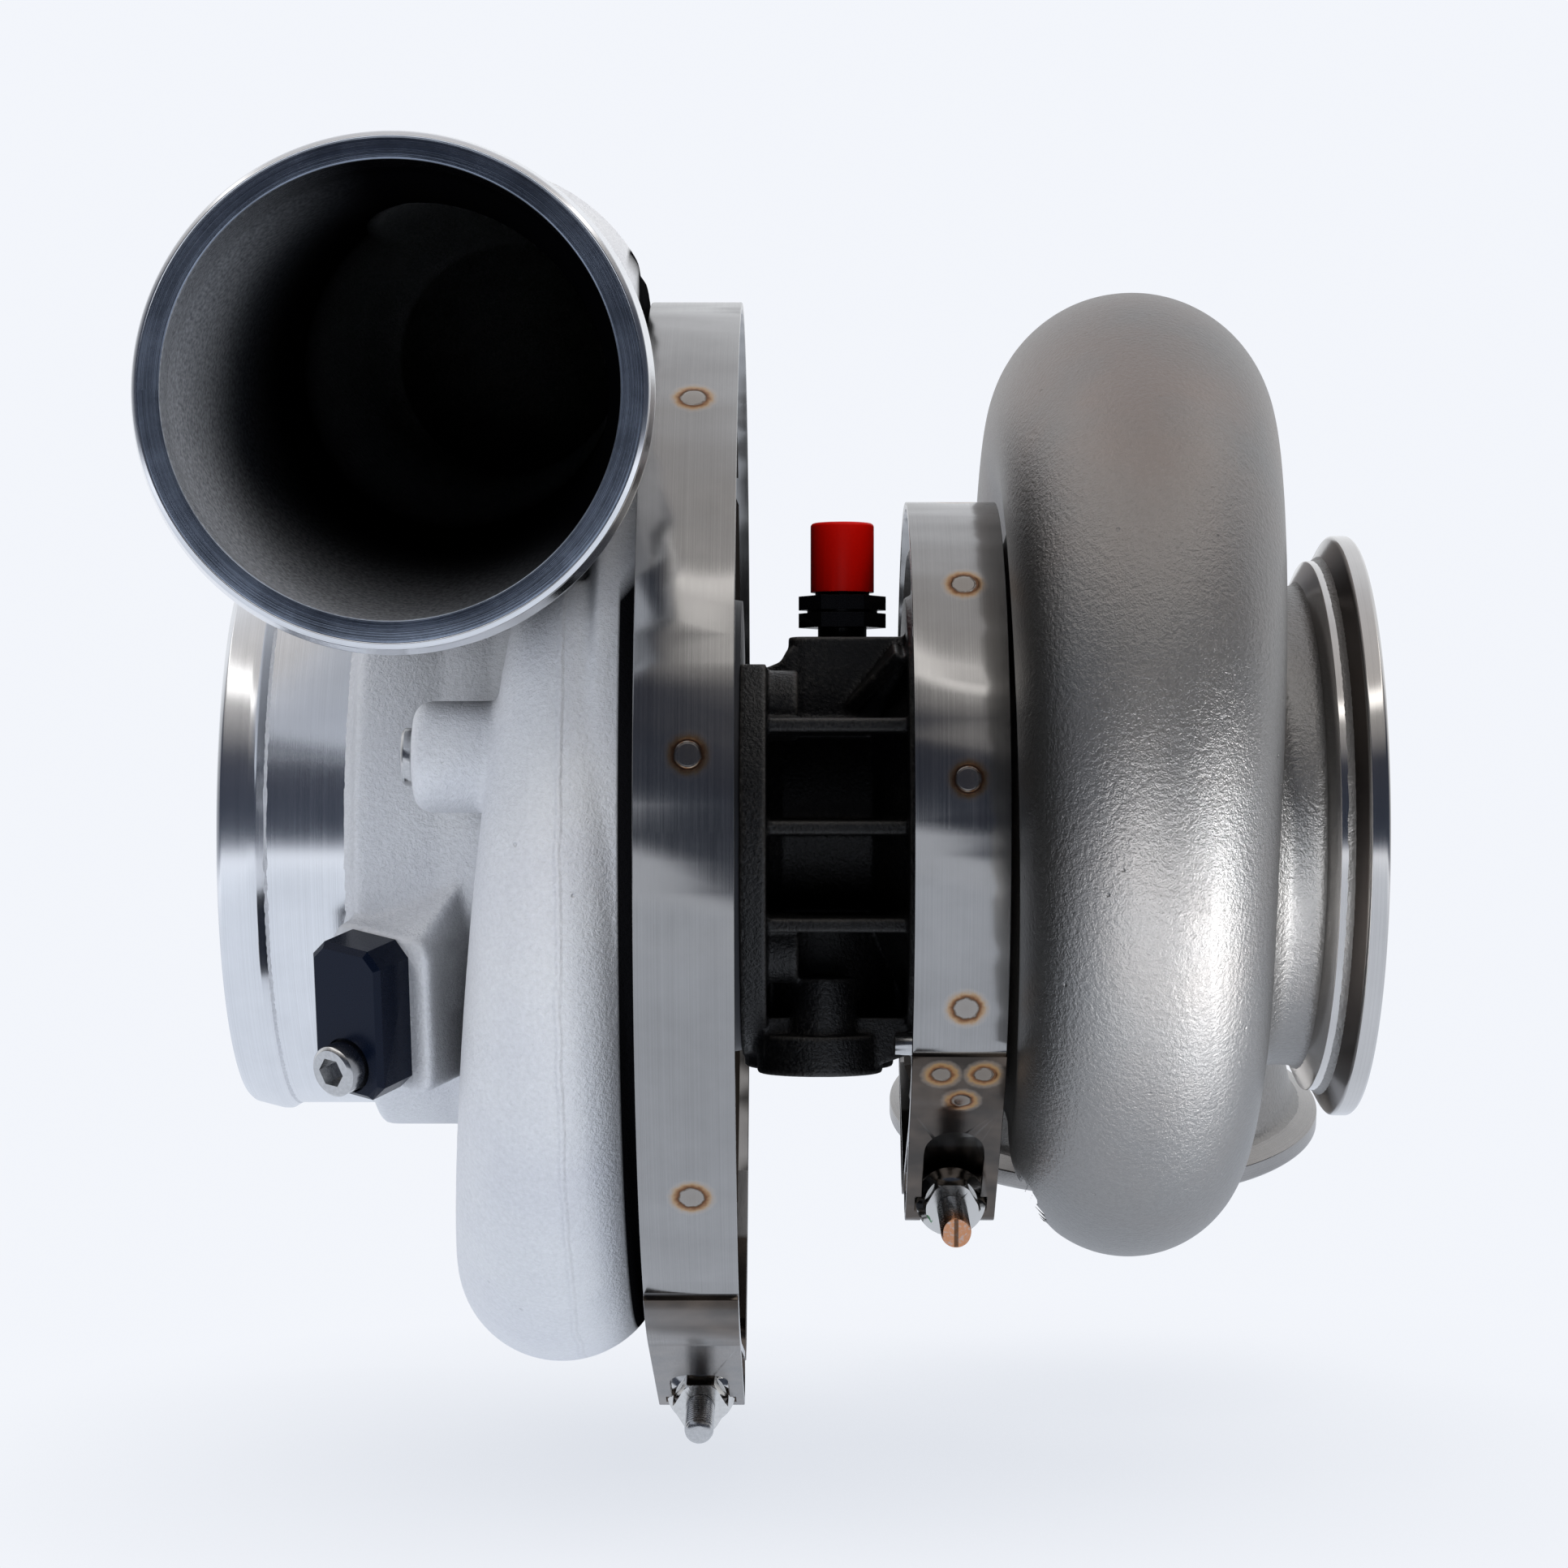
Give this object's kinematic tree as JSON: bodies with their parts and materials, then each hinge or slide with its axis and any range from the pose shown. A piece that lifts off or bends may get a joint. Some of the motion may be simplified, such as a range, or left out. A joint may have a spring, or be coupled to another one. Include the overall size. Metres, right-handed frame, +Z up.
{
  "type": "turbocharger",
  "caption": "Ball-bearing turbocharger: beaded air inlet and discharge, finned black bearing housing, V-band clamps, and a scroll turbine housing with V-band flanges.",
  "frame": {"origin": "on the rotor shaft axis, midway along the exhaust outlet bore", "axes": "+X along the shaft from compressor to turbine, +Z up through the oil inlet, -Y out of the compressor discharge"},
  "size_m": [0.2357, 0.2773, 0.2538],
  "materials": {
    "cast_aluminium": "fine sand-cast skin, turned ends",
    "machined_aluminium": "machined",
    "black_iron": "matte black painted casting",
    "bearing_steel": "ground",
    "cage_brass": "machined",
    "turbine_alloy": "investment cast nickel alloy",
    "cast_stainless": "pebbled stainless casting, turned flanges",
    "clamp_stainless": "brushed stainless strip",
    "zinc_steel": "bright plated",
    "ring_iron": "ground",
    "seal_rubber": "moulded",
    "black_anodised": "black anodised",
    "red_plastic": "moulded"
  },
  "bodies": {
    "turbo_core": {"bearing_housing": "black_iron", "compressor_backplate": "machined_aluminium", "backplate_bolts": "zinc_steel", "compressor_housing_oring": "seal_rubber", "compressor_sealing_ring": "ring_iron", "bearing_outer_sleeve": "bearing_steel", "bearing_locating_pin": "bearing_steel", "turbine_sealing_ring": "ring_iron", "heat_shield": "clamp_stainless", "turbine_housing": "cast_stainless", "turbine_locating_pin": "zinc_steel", "compressor_clamp_band": "clamp_stainless", "compressor_clamp_segments": "clamp_stainless", "compressor_clamp_t_bolt": "zinc_steel", "compressor_clamp_trunnion": "zinc_steel", "compressor_clamp_nut": "zinc_steel", "turbine_clamp_band": "clamp_stainless", "turbine_clamp_segments": "clamp_stainless", "turbine_clamp_t_bolt": "zinc_steel", "turbine_clamp_trunnion": "zinc_steel", "turbine_clamp_nut": "zinc_steel", "oil_inlet_fitting": "black_anodised"},
    "compressor_cover": {"compressor_housing": "cast_aluminium", "speed_sensor_block": "black_anodised", "speed_sensor_screw": "zinc_steel", "speed_sensor_oring": "seal_rubber", "boost_port_plug": "zinc_steel"},
    "rotor": {"turbine_wheel_and_shaft": "turbine_alloy", "compressor_wheel": "machined_aluminium", "compressor_nut": "zinc_steel", "compressor_spacer": "bearing_steel", "compressor_side_inner_race": "bearing_steel", "turbine_side_inner_race": "bearing_steel"},
    "ball_cages": {"compressor_side_balls": "bearing_steel", "turbine_side_balls": "bearing_steel", "compressor_side_ball_cage": "cage_brass", "turbine_side_ball_cage": "cage_brass"},
    "oil_cap": {"oil_inlet_cap": "red_plastic"}
  },
  "joints": [
    {"name": "rotor_spin", "type": "hinge", "parent": "turbo_core", "child": "rotor", "pos_m": [-0.0966, 0, 0], "axis": [1, 0, 0], "continuous": true},
    {"name": "ball_cage_orbit", "type": "hinge", "parent": "turbo_core", "child": "ball_cages", "pos_m": [-0.0966, 0, 0], "axis": [1, 0, 0], "continuous": true},
    {"name": "compressor_clocking", "type": "hinge", "parent": "turbo_core", "child": "compressor_cover", "pos_m": [-0.1259, 0, 0], "axis": [1, 0, 0], "range_deg": [-150, 90]},
    {"name": "oil_cap_pull", "type": "slide", "parent": "turbo_core", "child": "oil_cap", "axis": [0, 0, 1], "range_m": [0, 0.02]}
  ],
  "couplings": [
    {"joint": "ball_cage_orbit", "follows": "rotor_spin", "ratio": 0.3553}
  ]
}
